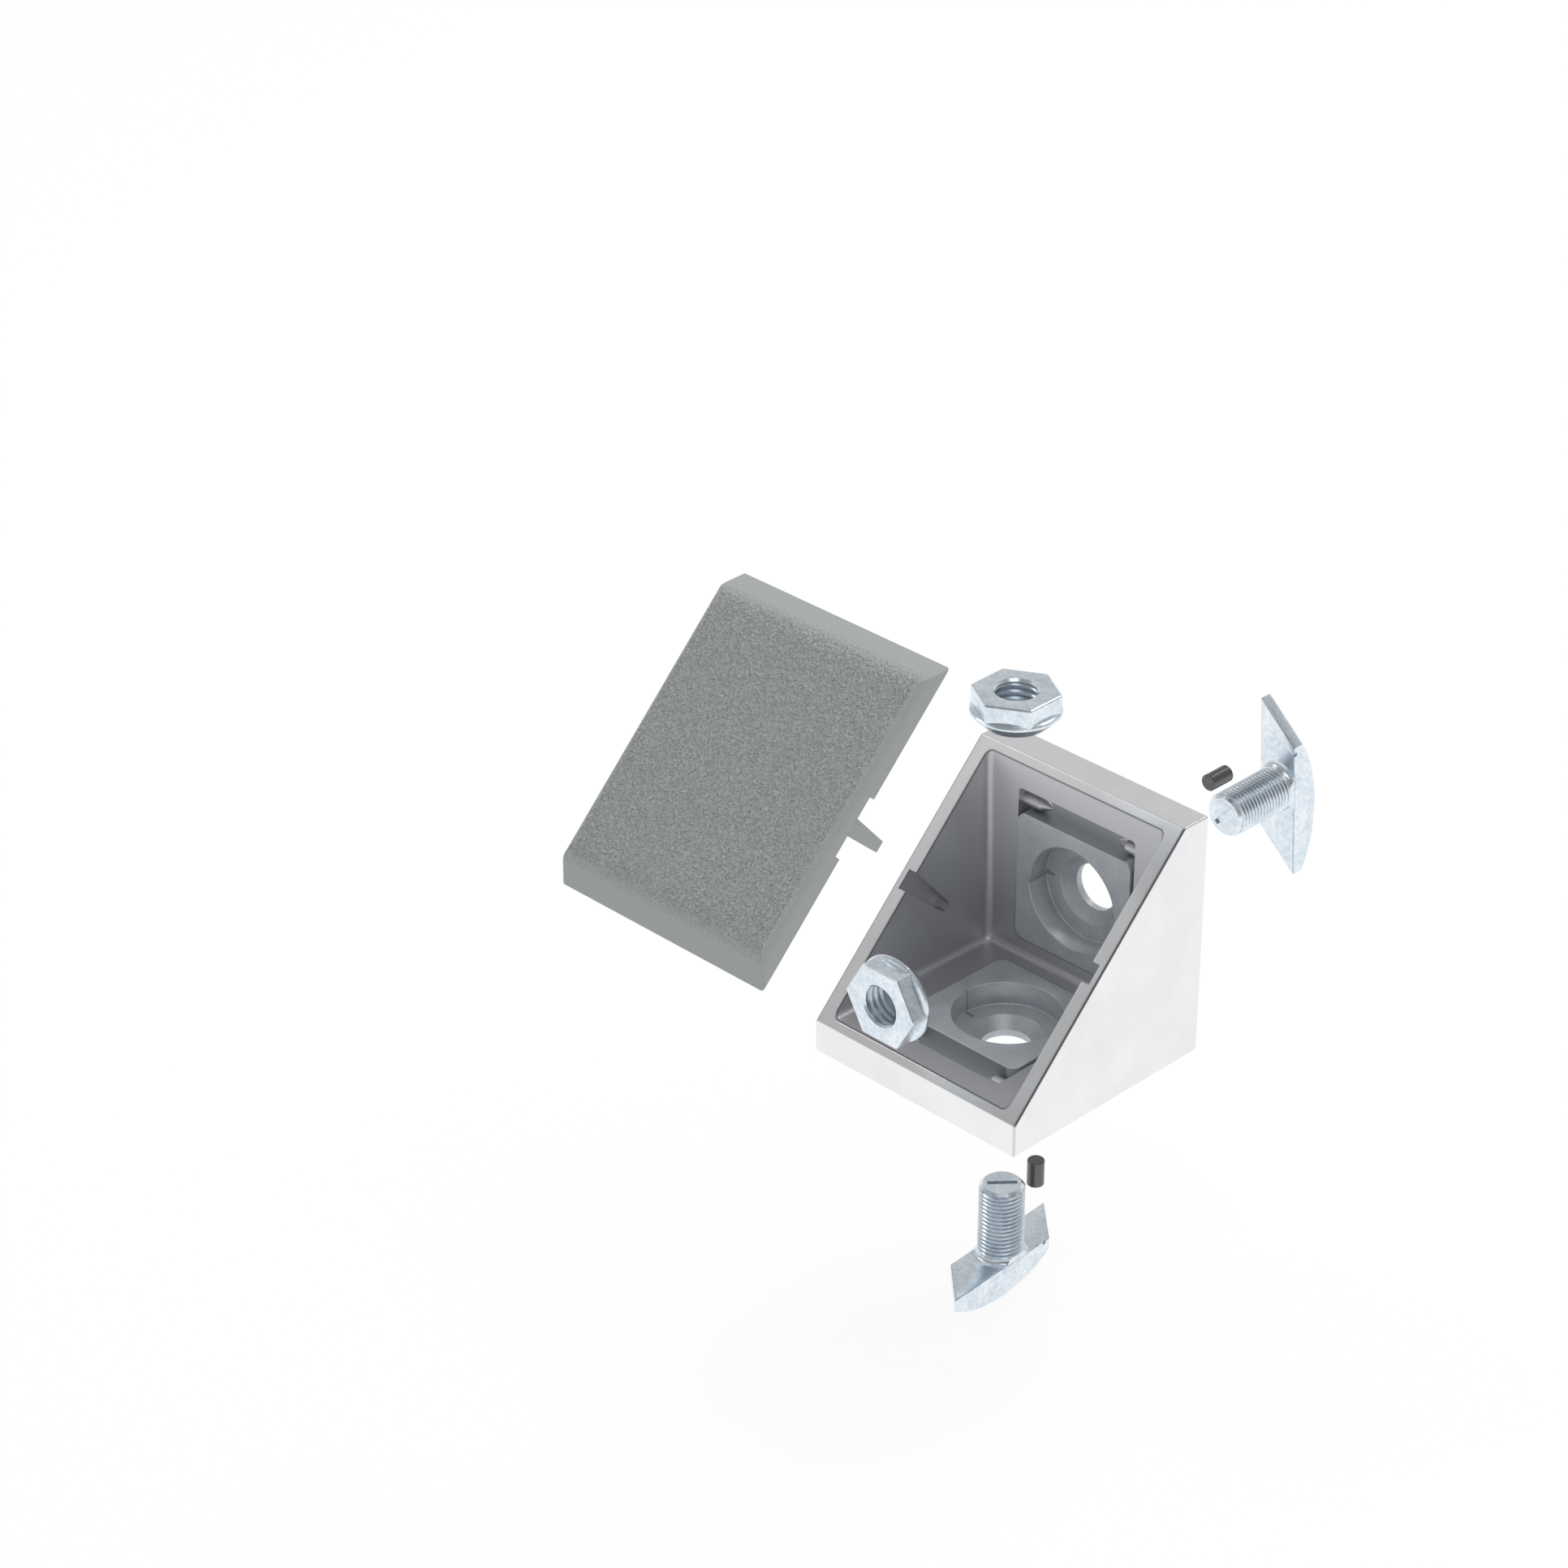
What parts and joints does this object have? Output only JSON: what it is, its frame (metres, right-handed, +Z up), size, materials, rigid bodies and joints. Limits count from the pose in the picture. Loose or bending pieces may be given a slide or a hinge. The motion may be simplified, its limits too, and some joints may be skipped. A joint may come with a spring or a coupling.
{
  "type": "t slot corner bracket set",
  "caption": "Corner bracket for slotted profiles, pulled apart: cast triangular shell, stepped seat plates, clip-on cap, collar nuts, T-head bolts and locating pins.",
  "frame": {"origin": "on the base bore's axis, on the base's outer face", "axes": "+X across the bracket, +Y out of the back face towards the upright profile, +Z up from the base face along the base bore"},
  "size_m": [0.0446, 0.1527, 0.1426],
  "materials": {
    "cast_shell": "die-cast, satin",
    "seat_plates": "die-cast zinc, matt",
    "cap_plastic": "moulded, leather grain",
    "zinc_nuts": "zinc plated, blue-white",
    "zinc_bolts": "zinc plated, blue-white",
    "dark_pins": "blackened, ground"
  },
  "bodies": {
    "root": {"bracket_body": "cast_shell", "base_seat_plate": "seat_plates", "back_seat_plate": "seat_plates", "cover_cap": "cap_plastic", "base_collar_nut": "zinc_nuts", "back_collar_nut": "zinc_nuts", "base_t_bolt": "zinc_bolts", "back_t_bolt": "zinc_bolts", "base_pin": "dark_pins", "back_pin": "dark_pins"}
  },
  "joints": []
}
